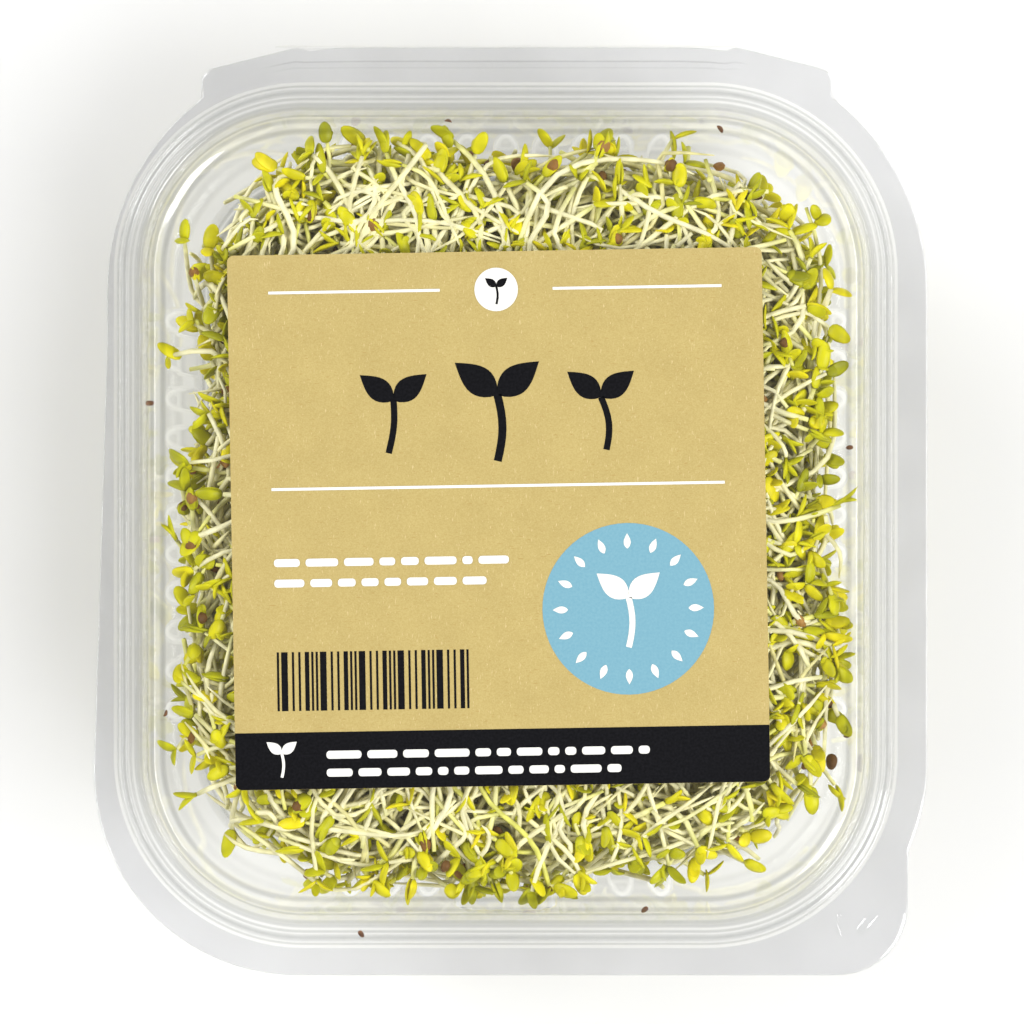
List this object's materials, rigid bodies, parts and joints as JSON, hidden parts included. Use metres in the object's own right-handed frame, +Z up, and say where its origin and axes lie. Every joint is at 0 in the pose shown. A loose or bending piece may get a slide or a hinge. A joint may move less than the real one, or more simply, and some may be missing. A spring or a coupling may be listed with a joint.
{
  "type": "punnet of alfalfa sprouts",
  "caption": "Clear hinged punnet packed with a tangle of alfalfa sprouts, with a square kraft paper label on its lid; the lid swings open at the back edge.",
  "frame": {"origin": "on the resting surface, under the middle of the punnet's outline", "axes": "+X to the right seen from the front, +Y to the hinge at the back, +Z up through the lid"},
  "size_m": [0.13, 0.1446, 0.0466],
  "materials": {
    "tub_sheet": "clear, glossy formed sheet",
    "lid_sheet": "clear, glossy formed sheet",
    "label_paper": "uncoated brown kraft paper",
    "sprouts": "fresh, slightly waxy plant matter"
  },
  "bodies": {
    "tub": {"tub": "tub_sheet", "sprouts": "sprouts"},
    "lid": {"lid": "lid_sheet", "label": "label_paper"}
  },
  "joints": [
    {"name": "lid_hinge", "type": "hinge", "parent": "tub", "child": "lid", "pos_m": [0, 0.07255, 0.04315], "axis": [-1, 0, 0], "range_deg": [0, 180]}
  ]
}
